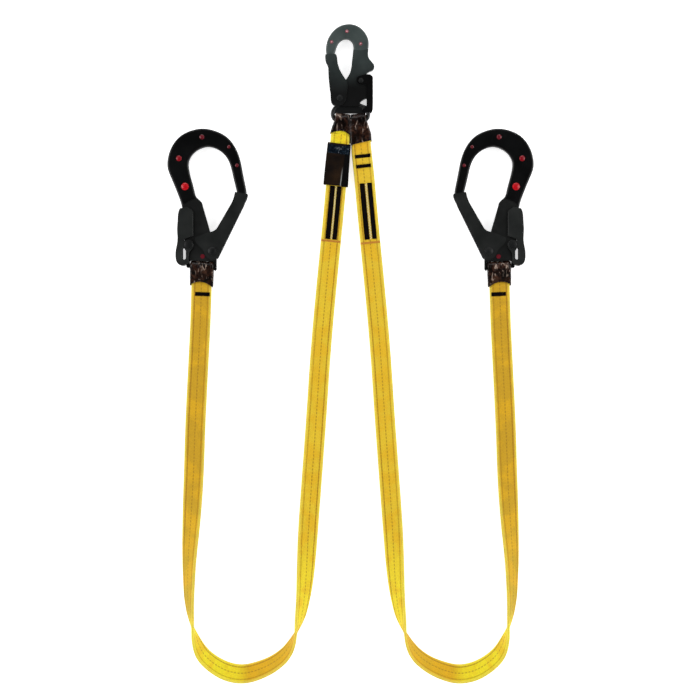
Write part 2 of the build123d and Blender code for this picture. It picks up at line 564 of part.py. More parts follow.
ring_web = outline(("line", [(-18.67, 24.75), (-22.58, 16.65), (-24.22, 12), (-24.38, 8.85), (19.42, 8.85), (18.83, 14.25), (11.33, 24.75)]))
snap_body = snap_body + ring_a + plate(ring_web, -2.4, 2.4)
snap_body = snap_body - cyl(PIV_SG[0], PIV_SG[1], 2.5, -20, 20) - cyl(PIV_SL[0], PIV_SL[1], 2.0, -20, 20)
snap_body = snap_body - cyl(PIV_SG[0], PIV_SG[1], 5.2, -2.4, 2.4) - cyl(PIV_SL[0], PIV_SL[1], 4.2, -2.1, 2.1)
snap_plates = [f - cyl(PIV_SG[0], PIV_SG[1], 2.5, -20, 20) - cyl(PIV_SL[0], PIV_SL[1], 2.0, -20, 20) for f in snap_plates]

sgate_face = outline(
    ("curve", [(-24.67, 97.95), (-21.83, 96.9), (-20.47, 94.35), (-19.88, 90.75)]),
    ("line", [(-19.88, 90.75), (-18.97, 83.25), (-16.27, 74.25), (-11.17, 65.25), (-6.83, 58.95)]),
    ("curve", [(-6.83, 58.95), (-4.27, 50.25), (-5.47, 39.75), (-6.67, 30.75), (-10.27, 23.25), (-15.97, 20.25)]),
    ("curve", [(-15.97, 20.25), (-23.77, 20.85), (-27.83, 24.15), (-29.77, 32.85), (-30.97, 44.25)]),
    ("line", [(-30.97, 44.25), (-32.62, 60.75), (-33.22, 74.25)]),
    ("curve", [(-33.22, 74.25), (-34.27, 80.85), (-36.83, 86.25), (-37.88, 91.65), (-37.27, 97.05)]),
)
sweb_face = outline(("line", [(-21.22, 93.75), (-20.02, 90.75), (-18.97, 83.25), (-16.88, 75.75), (-15.67, 73.35), (-17.33, 72.75), (-18.52, 75.3), (-20.62, 82.95), (-21.52, 90.45), (-22.27, 93.45)]))
sg = []
for k in (1, -1):
    f = plate(sgate_face, min(k*SN_GIN, k*SN_GOUT), max(k*SN_GIN, k*SN_GOUT))
    f = bevel(f, SN_GOUT, 0.35)
    sg.append(f)
snap_gate = sg[0] + sg[1] + plate(sweb_face, -SN_GIN-0.4, SN_GIN+0.4)
snap_gate = snap_gate - cyl(PIV_SG[0], PIV_SG[1], 2.5, -20, 20)

slever_face = outline(
    ("curve", [(9.23, 57.75), (10.42, 62.55), (15.23, 64.95), (24.08, 66.75), (29.62, 66.45)]),
    ("curve", [(29.62, 66.45), (32.78, 63.75), (33.67, 59.25)]),
    ("line", [(33.67, 59.25), (33.67, 23.25)]),
    ("curve", [(33.67, 23.25), (33.23, 14.85), (31.42, 10.95), (27.23, 10.05)]),
    ("line", [(27.23, 10.05), (17.78, 10.05), (17.78, 14.85)]),
    ("curve", [(17.78, 14.85), (22.42, 16.65), (24.23, 20.85)]),
    ("line", [(24.23, 20.85), (24.23, 51.15)]),
    ("curve", [(24.23, 51.15), (19.42, 50.85), (14.62, 51.45), (10.73, 53.55), (9.23, 57.75)]),
)
slever_web = outline(("line", [(31.58, 60.75), (32.92, 60.45), (33.23, 58.65), (33.23, 23.85), (31.73, 23.85), (31.73, 58.65)]))
sl = []
for k in (1, -1):
    f = plate(slever_face, min(k*SN_GIN, k*SN_GOUT), max(k*SN_GIN, k*SN_GOUT))
    f = bevel(f, SN_GOUT, 0.3)
    sl.append(f)
snap_lever = sl[0] + sl[1] + plate(slever_web, -SN_GIN-0.4, SN_GIN+0.4)
snap_lever = snap_lever - cyl(PIV_SL[0], PIV_SL[1], 2.0, -20, 20)
snap_gate_rivet = rivet(PIV_SG[0], PIV_SG[1], 2.45, 4.6, SN_GOUT+0.1, 8.7)
snap_lever_rivet = rivet(PIV_SL[0], PIV_SL[1], 1.95, 3.6, SN_GOUT+0.1, 8.5)
snap_gate_spring = torsion_spring(PIV_SG[0], PIV_SG[1], 3.9, 0.4, 3.5, 0.95)
snap_lever_spring = torsion_spring(PIV_SL[0], PIV_SL[1], 3.1, 0.3, 3.5, 0.8)
q1, q2, q3 = [(-5.33, 131.4), (-28.27, 115.5), (15.23, 112.8)]
snap_studs = stud_group([(q1[0], q1[1], 2.5, 0.9), (q2[0], q2[1], 2.4, 0.9), (q3[0], q3[1], 2.4, 0.9)], SN_HALF)


# ---------------------------------------------------------------- placing and writing
def solids_of(x):
    if isinstance(x, (list, tuple)):
        out = []
        for i in x:
            out += solids_of(i)
        return out
    return list(x.solids())


def write(name, shape, place=None, flip=False):
    out = []
    for s in solids_of(shape):
        if place is not None:
            s = place * s
        if flip:
            s = mirror(s, about=Plane.YZ)
        out += solids_of(s)
    export_step(out[0] if len(out) == 1 else Compound(children=out), "parts/%s.step" % name)


write("left_leg_webbing", leg)
write("right_leg_webbing", leg, flip=True)
write("left_absorber_core", core)
write("right_absorber_core", core, flip=True)
write("left_leg_stitching", left_bars)
write("right_leg_stitching", right_bars, flip=True)
write("left_end_tack", left_tack)
write("right_end_tack", right_tack, flip=True)
write("left_hook_tack", hook_tack)
write("right_hook_tack", hook_tack, flip=True)
write("label_cover", cover)
write("label_card", card)
write("label_window", window)
write("snap_sleeve_left", sleeve_snap_left)
write("snap_sleeve_right", sleeve_snap_right, flip=True)
write("left_hook_sleeve", sleeve_hook)
write("right_hook_sleeve", sleeve_hook, flip=True)

hook_place = Pos(HOOK_EYE[0], HOOK_EYE[1], HOOK_Z)
for side, fl in (("left", False), ("right", True)):
    write(side+"_hook_body", hook_body, hook_place, fl)
    write(side+"_hook_frame_plates", frame_plates, hook_place, fl)
    write(side+"_hook_gate", hook_gate, hook_place, fl)
    write(side+"_hook_gate_rivet", hook_gate_rivet, hook_place, fl)
    write(side+"_hook_gate_spring", hook_gate_spring, hook_place, fl)
    write(side+"_hook_lock_lever", hook_lever, hook_place, fl)
    write(side+"_hook_lever_rivet", hook_lever_rivet, hook_place, fl)
    write(side+"_hook_lever_spring", hook_lever_spring, hook_place, fl)
    write(side+"_hook_studs", hook_studs, hook_place, fl)

snap_place = Pos(SNAP_EYE[0], SNAP_EYE[1], SNAP_Z)
write("snap_hook_body", snap_body, snap_place)
write("snap_hook_frame_plates", snap_plates, snap_place)
write("snap_hook_gate", snap_gate, snap_place)
write("snap_hook_gate_rivet", snap_gate_rivet, snap_place)
write("snap_hook_gate_spring", snap_gate_spring, snap_place)
write("snap_hook_lock_lever", snap_lever, snap_place)
write("snap_hook_lever_rivet", snap_lever_rivet, snap_place)
write("snap_hook_lever_spring", snap_lever_spring, snap_place)
write("snap_hook_studs", snap_studs, snap_place)
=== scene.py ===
import bpy
import math
import random
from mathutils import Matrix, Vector, noise


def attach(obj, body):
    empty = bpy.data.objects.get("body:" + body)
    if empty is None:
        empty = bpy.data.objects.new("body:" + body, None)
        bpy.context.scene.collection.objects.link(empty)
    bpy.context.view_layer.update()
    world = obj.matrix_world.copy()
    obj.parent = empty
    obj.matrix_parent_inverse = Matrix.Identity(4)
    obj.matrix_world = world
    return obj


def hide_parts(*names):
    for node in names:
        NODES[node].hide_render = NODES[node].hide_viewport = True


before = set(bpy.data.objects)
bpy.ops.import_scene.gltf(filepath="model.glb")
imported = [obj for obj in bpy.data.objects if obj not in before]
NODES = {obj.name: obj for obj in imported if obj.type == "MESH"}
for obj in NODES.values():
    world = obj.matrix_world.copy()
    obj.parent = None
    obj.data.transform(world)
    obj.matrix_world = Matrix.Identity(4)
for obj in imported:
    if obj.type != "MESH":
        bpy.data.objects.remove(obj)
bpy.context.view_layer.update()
random.seed(7)

# ------------------------------------------------------------------ camera
cam_data = bpy.data.cameras.new("camera")
cam = bpy.data.objects.new("camera", cam_data)
bpy.context.collection.objects.link(cam)
CAM_H = 3.0
cam.location = (-0.0008, -0.2847, CAM_H)
cam.rotation_euler = (0, 0, 0)
cam_data.sensor_width = 36
cam_data.lens = 36*(CAM_H-0.008)/1.05
bpy.context.scene.camera = cam

# ------------------------------------------------------------------ the legs' route
# x, y, z of the centre line's control points in metres, and the strap's roll about it in degrees
ROUTE = [
    (-0.01060, 0.06095, 0.00870, 0.0),
    (-0.01910, -0.00645, 0.00690, 0.0),
    (-0.02360, -0.06045, 0.00540, 0.0),
    (-0.02980, -0.12455, 0.00300, 0.0),
    (-0.03580, -0.18535, 0.00230, 0.0),
    (-0.04160, -0.24745, 0.00250, 0.0),
    (-0.04650, -0.30905, 0.00240, 0.0),
    (-0.05040, -0.37105, 0.00250, 0.0),
    (-0.05480, -0.43275, 0.00270, 1.1),
    (-0.05940, -0.49475, 0.00370, 4.6),
    (-0.06380, -0.55615, 0.00590, 13.3),
    (-0.06740, -0.61975, 0.01050, 32.9),
    (-0.07010, -0.65185, 0.01270, 46.4),
    (-0.07510, -0.68555, 0.01520, 61.2),
    (-0.08470, -0.71875, 0.01580, 103.1),
    (-0.09620, -0.73955, 0.01430, 124.1),
    (-0.11500, -0.75475, 0.01290, 132.8),
    (-0.13680, -0.76495, 0.01120, 143.1),
    (-0.16030, -0.77135, 0.00960, 150.5),
    (-0.18420, -0.76765, 0.01010, 148.4),
    (-0.20550, -0.75595, 0.01220, 137.1),
    (-0.22330, -0.73955, 0.01390, 127.8),
    (-0.23240, -0.71715, 0.01560, 105.2),
    (-0.23780, -0.69415, 0.01560, 77.2),
    (-0.24180, -0.65995, 0.01470, 60.4),
    (-0.24200, -0.62575, 0.01330, 50.6),
    (-0.24150, -0.59355, 0.01240, 43.0),
    (-0.23800, -0.52985, 0.00790, 21.4),
    (-0.23520, -0.46855, 0.00440, 7.5),
    (-0.23350, -0.40605, 0.00340, 3.8),
    (-0.23070, -0.34505, 0.00280, 1.1),
    (-0.22740, -0.28075, 0.00220, 0.0),
    (-0.22470, -0.22645, 0.00360, 0.0),
    (-0.22250, -0.15985, 0.01120, 0.0),
]
STRAP_W = 0.0304
STRAP_T = 0.0044
RES = 12


def spline_points(points, name):
    cu = bpy.data.curves.new(name, "CURVE")
    cu.dimensions = "3D"
    sp = cu.splines.new("NURBS")
    sp.points.add(len(points)-1)
    for p, q in zip(sp.points, points):
        p.co = (q[0], q[1], q[2], 1.0)
    sp.order_u = 3
    sp.use_endpoint_u = True
    sp.resolution_u = RES
    cu.resolution_u = RES
    ob = bpy.data.objects.new(name, cu)
    bpy.context.collection.objects.link(ob)
    bpy.context.view_layer.update()
    me = bpy.data.meshes.new_from_object(ob)
    out = [v.co.copy() for v in me.vertices]
    bpy.data.meshes.remove(me)
    bpy.data.objects.remove(ob)
    bpy.data.curves.remove(cu)
    return out


def leg_line():
    pts = spline_points([(p[0], p[1], p[2]) for p in ROUTE], "line")
    rolls = spline_points([(p[3]/1000.0, 0.0, 0.0) for p in ROUTE], "rolls")
    rows = []
    s = 0.0
    for i, p in enumerate(pts):
        if i:
            s += (p-pts[i-1]).length
        a = pts[max(i-1, 0)]
        b = pts[min(i+1, len(pts)-1)]
        t = (b-a).normalized()
        rows.append((s, p, t, math.radians(rolls[i].x*1000.0)))
    return rows


LINE = leg_line()
LEN = LINE[-1][0]


def axes(t, roll):
    h = t.cross(Vector((0, 0, 1))).normalized()
    up = h.cross(t).normalized()
    w = h*math.cos(roll)+up*math.sin(roll)
    n = -h*math.sin(roll)+up*math.cos(roll)
    return w, n


def at(s):
    s = min(max(s, 0.0), LEN-1e-6)
    lo_i, hi_i = 0, len(LINE)-1
    while hi_i-lo_i > 1:
        m = (lo_i+hi_i)//2
        if LINE[m][0] <= s:
            lo_i = m
        else:
            hi_i = m
    a, b = LINE[lo_i], LINE[hi_i]
    u = (s-a[0])/max(b[0]-a[0], 1e-9)
    p = a[1].lerp(b[1], u)
    t = a[2].lerp(b[2], u).normalized()
    w, n = axes(t, a[3]*(1-u)+b[3]*u)
    return p, t, w, n


def flip(v, right):
    return Vector((-v.x, v.y, v.z)) if right else v


def mesh_object(name, verts, faces, right=False, smooth=True, uvs=None):
    if right:
        faces = [tuple(reversed(f)) for f in faces]
        if uvs:
            uvs = [tuple(reversed(u)) for u in uvs]
    me = bpy.data.meshes.new(name)
    me.from_pydata([tuple(flip(Vector(v), right)) for v in verts], [], faces)
    if uvs:
        layer = me.uv_layers.new(name="weave")
        k = 0
        for f in uvs:
            for u in f:
                layer.data[k].uv = u
                k += 1
    me.polygons.foreach_set("use_smooth", [smooth]*len(me.polygons))
    me.update()
    ob = bpy.data.objects.new(name, me)
    bpy.context.collection.objects.link(ob)
    return ob


def sweep_rings(rings, closed_ring=True, caps=True, ring_uv=None, length_uv=None):
    # rings of equal length -> verts, faces, uvs
    verts = [v for r in rings for v in r]
    n = len(rings[0])
    faces, uvs = [], []
    last = n if closed_ring else n-1
    for i in range(len(rings)-1):
        for j in range(last):
            k = (j+1) % n
            faces.append((i*n+j, i*n+k, (i+1)*n+k, (i+1)*n+j))
            if ring_uv:
                u0, u1 = ring_uv[j], ring_uv[j+1]
                uvs.append(((u0, length_uv[i]), (u1, length_uv[i]), (u1, length_uv[i+1]), (u0, length_uv[i+1])))
    if caps and closed_ring:
        faces.append(tuple(reversed(range(n))))
        faces.append(tuple((len(rings)-1)*n+j for j in range(n)))
        if ring_uv:
            uvs.append(tuple((ring_uv[j], length_uv[0]) for j in reversed(range(n))))
            uvs.append(tuple((ring_uv[j], length_uv[-1]) for j in range(n)))
    return verts, faces, uvs


def strap_section(wi, wo, half_t):
    # outline of the flattened tube, from the inner side across the face, round the edge and back
    top = []
    N = 18
    for i in range(N+1):
        f = -1+2*i/N
        a = (wo if f > 0 else wi)*f
        edge = 1-abs(f)**9
        groove = 0.00022*math.exp(-((abs(a)-0.0098)/0.0007)**2)
        crown = half_t*(0.30+0.70*max(edge, 0)**0.5)
        top.append((a, crown-groove))
    bottom = [(a, -b) for a, b in reversed(top)]
    return top+bottom


WIDTHS = [(0.0, 0.0093, 0.0095), (0.012, 0.0110, 0.0140), (0.024, 0.0125, 0.0162), (0.033, 0.0136, 0.0156), (0.040, 0.0144, 0.0153), (0.050, 0.0152, 0.0152), (9.0, 0.0152, 0.0152)]


def widths(s):
    for p, q in zip(WIDTHS, WIDTHS[1:]):
        if s <= q[0]:
            k = max(0.0, (s-p[0])/(q[0]-p[0]))
            return p[1]+(q[1]-p[1])*k, p[2]+(q[2]-p[2])*k
    return 0.0152, 0.0152


JOIN = 0.021
SEAM_Z0, SEAM_Z1 = 0.0088, 0.0078


def leg(name, right):
    rings, vs = [], []
    stations = [s for s, _, _, _ in LINE if JOIN < s < LEN-JOIN]
    fine = [JOIN]
    for s in stations:
        while s-fine[-1] > 0.0055:
            fine.append(fine[-1]+0.0045)
        if s-fine[-1] > 0.002:
            fine.append(s)
    fine.append(LEN-JOIN)
    path = []
    for s in fine:
        p, t, w, n = at(s)
        wi, wo = widths(s)
        sec = strap_section(wi, wo, STRAP_T/2)
        q = Vector((s*9.0, 3.0 if right else 0.0, 0.0))
        ring = []
        for a, b in sec:
            lift = 0.00025*noise.noise(Vector((s*22, a*90, 5.0 if right else 0.0)))+0.00012*noise.noise(Vector((s*120, a*260, 9.0)))
            ring.append(p+w*a+n*(b+(lift if b > 0 else 0)))
        rings.append(ring)
        vs.append(s)
        path.append(p)
    sec = strap_section(0.0152, 0.0152, STRAP_T/2)
    ring_uv = [a/STRAP_W+0.5 for a, b in sec]+[sec[0][0]/STRAP_W+0.5]
    verts, faces, uvs = sweep_rings(rings, ring_uv=ring_uv, length_uv=vs)
    ob = mesh_object(name, verts, faces, right, uvs=uvs)
    return ob, [flip(p, right) for p in path]


FOLD_IN = {"snap": 0.0046, "hook": 0.0039}


def end_axes(which):
    if which == "snap":
        p = Vector(ROUTE[0][:3])
        t = (Vector(ROUTE[1][:3])-p).normalized()
    else:
        p = Vector(ROUTE[-1][:3])
        t = (Vector(ROUTE[-2][:3])-p).normalized()
    h = t.cross(Vector((0, 0, 1))).normalized()
    n = h.cross(t).normalized()
    if which == "hook":
        h = -h
    return p, t, h, n


def fold_line(radius, join, v_join, end, steps=26):
    # (u, v, distance along) of a line from the top face, round the bar, to the bottom face
    d = math.hypot(join, v_join)
    th = math.atan2(v_join, join)+math.acos(radius/d)
    pts = []
    m = 5
    for i in range(m):
        k = i/m
        pts.append((end+(join-end)*k, v_join))
    x1, y1 = radius*math.cos(th), radius*math.sin(th)
    m = 7
    for i in range(m):
        k = i/m
        pts.append((join+(x1-join)*k, v_join+(y1-v_join)*k))
    for i in range(steps+1):
        a = th+(2*math.pi-2*th)*i/steps
        pts.append((radius*math.cos(a), radius*math.sin(a)))
    back = [(u, -v) for u, v in reversed(pts[:12])]
    return pts+back


def fold(name, which, right, half_plan):
    p, t, h, n = end_axes(which)
    r_in = FOLD_IN[which]
    inner = fold_line(r_in, 0.021, 0.00015, 0.0225)
    outer = fold_line(r_in+0.0022, 0.021, 0.0022, 0.0225)
    rings = []
    for (u0, v0), (u1, v1) in zip(inner, outer):
        wi, wo = half_plan(max(0.0, u1))
        if u1 < 0 and which == "snap":
            wi -= 0.0011*min(1.0, -u1/0.009)
        ring = []
        for k in range(9):
            f = -1+2*k/8
            a = (wo if f > 0 else wi)*f
            ring.append(p+t*u1+n*v1+h*a)
        for k in range(9):
            f = 1-2*k/8
            a = (wo if f > 0 else wi)*f
            ring.append(p+t*u0+n*v0+h*a)
        rings.append(ring)
    ring_uv = [k/8 for k in range(9)]+[1-k/8 for k in range(9)]+[0]
    vs = [0.002*i for i in range(len(rings))]
    verts, faces, uvs = sweep_rings(rings, ring_uv=ring_uv, length_uv=vs)
    return mesh_object(name, verts, faces, right, uvs=uvs)


# ------------------------------------------------------------------ materials
def new_material(name):
    m = bpy.data.materials.new(name)
    m.use_nodes = True
    nt = m.node_tree
    bsdf = next(x for x in nt.nodes if x.type == "BSDF_PRINCIPLED")
    return m, nt, bsdf


def node(nt, kind, **props):
    x = nt.nodes.new(kind)
    for k, v in props.items():
        setattr(x, k, v)
    return x


def setv(x, **vals):
    for k, v in vals.items():
        x.inputs[k.replace("_", " ")].default_value = v


def ramp(nt, fac, stops):
    r = node(nt, "ShaderNodeValToRGB")
    while len(r.color_ramp.elements) < len(stops):
        r.color_ramp.elements.new(0.5)
    for e, (pos, col) in zip(r.color_ramp.elements, stops):
        e.position = pos
        e.color = (*col, 1.0)
    nt.links.new(fac, r.inputs["Fac"])
    return r.outputs["Color"]


def math_node(nt, op, a, b=None, c=None):
    x = node(nt, "ShaderNodeMath", operation=op)
    for i, v in enumerate((a, b, c)):
        if v is None:
            continue
        if isinstance(v, (int, float)):
            x.inputs[i].default_value = v
        else:
            nt.links.new(v, x.inputs[i])
    return x.outputs[0]


def mix_color(nt, fac, a, b, blend="MIX"):
    x = node(nt, "ShaderNodeMix", data_type="RGBA", blend_type=blend)
    if isinstance(fac, (int, float)):
        x.inputs[0].default_value = fac
    else:
        nt.links.new(fac, x.inputs[0])
    for sock, v in ((x.inputs[6], a), (x.inputs[7], b)):
        if isinstance(v, tuple):
            sock.default_value = (*v, 1.0)
        else:
            nt.links.new(v, sock)
    return x.outputs[2]


def bump(nt, height, strength, distance, normal=None):
    b = node(nt, "ShaderNodeBump")
    b.inputs["Strength"].default_value = strength
    b.inputs["Distance"].default_value = distance
    nt.links.new(height, b.inputs["Height"])
    if normal is not None:
        nt.links.new(normal, b.inputs["Normal"])
    return b.outputs["Normal"]


def pulse(nt, x, centre, half):
    # 1 near centre, falling to 0 at half away
    d = math_node(nt, "ABSOLUTE", math_node(nt, "SUBTRACT", x, centre))
    y = node(nt, "ShaderNodeMapRange")
    y.inputs["From Min"].default_value = half
    y.inputs["From Max"].default_value = half*0.45
    nt.links.new(d, y.inputs["Value"])
    return y.outputs["Result"]


def blend_range(nt, x, a, b):
    y = node(nt, "ShaderNodeMapRange")
    setv(y, From_Min=a, From_Max=b)
    nt.links.new(x, y.inputs["Value"])
    return y.outputs["Result"]


def webbing_material(name, head_lit_shade_stops):
    m, nt, bsdf = new_material(name)
    uv = node(nt, "ShaderNodeUVMap", uv_map="weave")
    sep = node(nt, "ShaderNodeSeparateXYZ")
    nt.links.new(uv.outputs["UV"], sep.inputs[0])
    U, V = sep.outputs[0], sep.outputs[1]
    a = math_node(nt, "MULTIPLY", math_node(nt, "SUBTRACT", U, 0.5), 30.4)      # mm across
    l = math_node(nt, "MULTIPLY", V, 1000.0)                                   # mm along
    absa = math_node(nt, "ABSOLUTE", a)
    # twill: warp cords along the strap, crossed by a fine diagonal
    rib = math_node(nt, "SINE", math_node(nt, "MULTIPLY", a, 2*math.pi/1.05))
    diag = math_node(nt, "SINE", math_node(nt, "ADD", math_node(nt, "MULTIPLY", absa, 2*math.pi/2.1), math_node(nt, "MULTIPLY", l, 2*math.pi/1.3)))
    weave = math_node(nt, "ADD", math_node(nt, "MULTIPLY", rib, 0.5), math_node(nt, "MULTIPLY", diag, 0.5))
    # painted light and shade along the strap: golden on the arms, lemon where the bend's twisted faces turn to the
    # light and amber where they turn away; random amber mottling is mixed in after
    lit_shade_and_mottle_tone = ramp(nt, math_node(nt, "DIVIDE", V, 1.54), head_lit_shade_stops+[
        (0.40, (0.80, 0.57, 0.024)), (0.460, (0.90, 0.76, 0.020)), (0.492, (0.90, 0.74, 0.018)), (0.503, (0.72, 0.44, 0.008)),
        (0.566, (0.68, 0.41, 0.006)), (0.580, (0.90, 0.80, 0.016)), (0.642, (0.90, 0.81, 0.016)), (0.662, (0.545, 0.385, 0.009)),
        (0.780, (0.58, 0.345, 0.011)), (0.970, (0.58, 0.340, 0.009))])
    patch_co = node(nt, "ShaderNodeCombineXYZ")
    nt.links.new(math_node(nt, "MULTIPLY", U, 0.9), patch_co.inputs[0])
    nt.links.new(math_node(nt, "MULTIPLY", V, 40.0), patch_co.inputs[1])
    n1 = node(nt, "ShaderNodeTexNoise")
    setv(n1, Scale=1.0, Detail=2.0)
    nt.links.new(patch_co.outputs[0], n1.inputs["Vector"])
    patch = blend_range(nt, n1.outputs["Fac"], 0.46, 0.60)
    lit_shade_and_mottle_tone = mix_color(nt, math_node(nt, "MULTIPLY", patch, 0.60), lit_shade_and_mottle_tone, (0.80, 0.45, 0.005))
    co = node(nt, "ShaderNodeTexCoord")
    n2 = node(nt, "ShaderNodeTexNoise")
    setv(n2, Scale=620.0, Detail=3.0)
    nt.links.new(co.outputs["Object"], n2.inputs["Vector"])
    thread = math_node(nt, "MULTIPLY_ADD", weave, 0.5, 0.5)
    # painted shade: the weave's low threads, which the bump sinks, are darkened towards brown
    dark = mix_color(nt, 0.5, lit_shade_and_mottle_tone, (0.36, 0.17, 0.004))
    c1 = mix_color(nt, blend_range(nt, thread, 0.15, 0.75), dark, lit_shade_and_mottle_tone)
    # paler rolled edges with a soft olive cast
    edge = blend_range(nt, absa, 11.0, 13.6)
    c2 = mix_color(nt, math_node(nt, "MULTIPLY", edge, 0.65), c1, (0.74, 0.62, 0.085))
    # sewn lines: two rows near the edges and one along the middle
    dash = math_node(nt, "GREATER_THAN", math_node(nt, "FRACT", math_node(nt, "DIVIDE", l, 5.3)), 0.25)
    side = pulse(nt, absa, 9.8, 1.25)
    mid = pulse(nt, a, 0.0, 1.15)
    dash2 = pulse(nt, math_node(nt, "FRACT", math_node(nt, "DIVIDE", l, 5.3)), 0.5, 0.36)
    strong = math_node(nt, "MULTIPLY_ADD", math_node(nt, "GREATER_THAN", a, 0.0), -0.22, 0.72)
    sew = math_node(nt, "MAXIMUM", math_node(nt, "MULTIPLY", side, math_node(nt, "MULTIPLY", strong, math_node(nt, "MULTIPLY_ADD", dash, 0.35, 0.65))),
                    math_node(nt, "MULTIPLY", mid, math_node(nt, "MULTIPLY_ADD", dash2, 0.55, 0.12)))
    c3 = mix_color(nt, sew, c2, (0.27, 0.12, 0.004))
    fleck = ramp(nt, n2.outputs["Fac"], [(0.30, (0.80, 0.78, 0.72)), (0.62, (1.0, 1.0, 1.0))])
    c4 = mix_color(nt, 0.8, c3, fleck, "MULTIPLY")
    nt.links.new(c4, bsdf.inputs["Base Color"])
    bsdf.inputs["Roughness"].default_value = 0.7
    bsdf.inputs["Sheen Weight"].default_value = 0.10
    bsdf.inputs["Sheen Roughness"].default_value = 0.5
    bsdf.inputs["Sheen Tint"].default_value = (1.0, 0.85, 0.4, 1.0)
    bsdf.inputs["Specular IOR Level"].default_value = 0.22
    h = math_node(nt, "SUBTRACT", weave, math_node(nt, "MULTIPLY", sew, 1.8))
    nrm = bump(nt, h, 0.6, 0.00025)
    nrm = bump(nt, n2.outputs["Fac"], 0.3, 0.0004, nrm)
    nt.links.new(nrm, bsdf.inputs["Normal"])
    return m


def coated_metal(name, dark, light, rough, grain=420.0, spread=0.12, coat=0.0, bump_d=0.00006, spec=0.12, fade=None):
    m, nt, bsdf = new_material(name)
    co = node(nt, "ShaderNodeTexCoord")
    n1 = node(nt, "ShaderNodeTexNoise")
    setv(n1, Scale=38.0, Detail=4.0)
    nt.links.new(co.outputs["Object"], n1.inputs["Vector"])
    n2 = node(nt, "ShaderNodeTexNoise")
    setv(n2, Scale=grain, Detail=3.0)
    nt.links.new(co.outputs["Object"], n2.inputs["Vector"])
    colour = ramp(nt, n1.outputs["Fac"], [(0.35, dark), (0.70, light)])
    if fade:
        # the finish blends from the deep colour below y0 to the noise colour above y1
        y0, y1, deep = fade
        sep = node(nt, "ShaderNodeSeparateXYZ")
        nt.links.new(co.outputs["Object"], sep.inputs[0])
        colour = mix_color(nt, blend_range(nt, sep.outputs[1], y0, y1), deep, colour)
    nt.links.new(colour, bsdf.inputs["Base Color"])
    r = node(nt, "ShaderNodeMapRange")
    setv(r, To_Min=rough-spread/2, To_Max=rough+spread/2)
    nt.links.new(n1.outputs["Fac"], r.inputs["Value"])
    nt.links.new(r.outputs["Result"], bsdf.inputs["Roughness"])
    bsdf.inputs["Metallic"].default_value = 0.0
    bsdf.inputs["Specular IOR Level"].default_value = spec
    bsdf.inputs["Coat Weight"].default_value = coat
    bsdf.inputs["Coat Roughness"].default_value = 0.2
    nt.links.new(bump(nt, n2.outputs["Fac"], 0.35, bump_d), bsdf.inputs["Normal"])
    return m


def thread_material(name, dark, light, spec):
    m, nt, bsdf = new_material(name)
    co = node(nt, "ShaderNodeTexCoord")
    n2 = node(nt, "ShaderNodeTexNoise")
    setv(n2, Scale=1400.0, Detail=3.0)
    nt.links.new(co.outputs["Object"], n2.inputs["Vector"])
    nt.links.new(ramp(nt, n2.outputs["Fac"], [(0.3, dark), (0.7, light)]), bsdf.inputs["Base Color"])
    bsdf.inputs["Roughness"].default_value = 0.6
    bsdf.inputs["Specular IOR Level"].default_value = spec
    nt.links.new(bump(nt, n2.outputs["Fac"], 0.5, 0.0002), bsdf.inputs["Normal"])
    return m


def sleeve_material():
    # dark red-brown shrink film: glossy, with pale streaks painted on as highlights where it is creased
    m, nt, bsdf = new_material("sleeve_film")
    co = node(nt, "ShaderNodeTexCoord")
    n1 = node(nt, "ShaderNodeTexNoise")
    setv(n1, Scale=85.0, Detail=4.0, Distortion=0.9)
    nt.links.new(co.outputs["Object"], n1.inputs["Vector"])
    crease_map = node(nt, "ShaderNodeMapping")
    crease_map.inputs["Scale"].default_value = (190.0, 50.0, 190.0)
    nt.links.new(co.outputs["Object"], crease_map.inputs["Vector"])
    n3 = node(nt, "ShaderNodeTexNoise")
    setv(n3, Scale=1.0, Detail=3.0, Distortion=1.1)
    nt.links.new(crease_map.outputs["Vector"], n3.inputs["Vector"])
    base = ramp(nt, n1.outputs["Fac"], [(0.40, (0.0014, 0.0007, 0.0005)), (0.55, (0.0120, 0.0046, 0.0028)), (0.70, (0.046, 0.019, 0.0110))])
    # painted highlight: pale streaks where the crease noise peaks
    painted_crease_highlight = blend_range(nt, n3.outputs["Fac"], 0.60, 0.70)
    nt.links.new(mix_color(nt, math_node(nt, "MULTIPLY", painted_crease_highlight, 0.75), base, (0.36, 0.27, 0.22)), bsdf.inputs["Base Color"])
    bsdf.inputs["Roughness"].default_value = 0.24
    bsdf.inputs["Specular IOR Level"].default_value = 0.18
    nrm = bump(nt, n3.outputs["Fac"], 0.8, 0.0011)
    n2 = node(nt, "ShaderNodeTexNoise")
    setv(n2, Scale=260.0, Detail=2.0, Distortion=0.6)
    nt.links.new(co.outputs["Object"], n2.inputs["Vector"])
    nt.links.new(bump(nt, n2.outputs["Fac"], 0.5, 0.0007, nrm), bsdf.inputs["Normal"])
    return m


